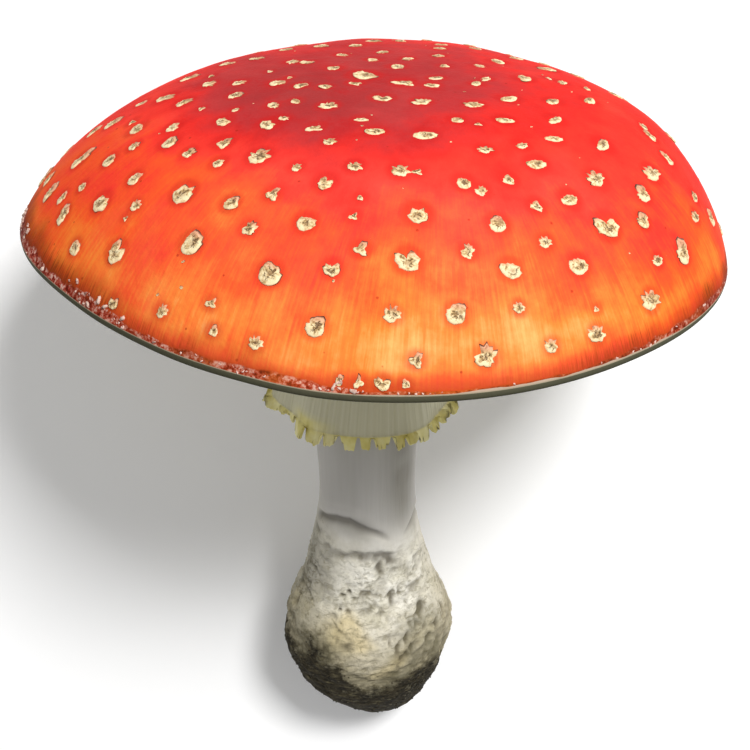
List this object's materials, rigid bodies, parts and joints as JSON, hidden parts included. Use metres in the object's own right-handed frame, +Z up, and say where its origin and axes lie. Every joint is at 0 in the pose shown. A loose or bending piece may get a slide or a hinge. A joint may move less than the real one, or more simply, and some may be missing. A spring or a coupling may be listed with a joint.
{
  "type": "fly agaric mushroom",
  "caption": "Fly agaric picked whole and lying on its side: domed red cap with gills under it, stem swelling to a bulb, and a torn ring hanging below the cap. Rests on cap rim and bulb.",
  "frame": {"origin": "on the surface it lies on, under the middle of the lying mushroom's bounding box", "axes": "+Z up, +Y along the stem's lean from the bulb towards the cap, +X across the cap towards its steeper side"},
  "size_m": [0.1518, 0.166, 0.1363],
  "materials": {
    "cap_skin": "smooth, slightly glossy red skin fading to orange towards the rim",
    "gill_flesh": "matt cream-white",
    "stem_flesh": "matt, fibrous off-white with soil on the bulb",
    "ring_membrane": "matt cream membrane with a yellowish torn edge",
    "veil_warts": "matt, crumbly cream"
  },
  "bodies": {
    "root": {"cap": "cap_skin", "gills": "gill_flesh", "stem": "stem_flesh", "ring": "ring_membrane"}
  },
  "joints": []
}
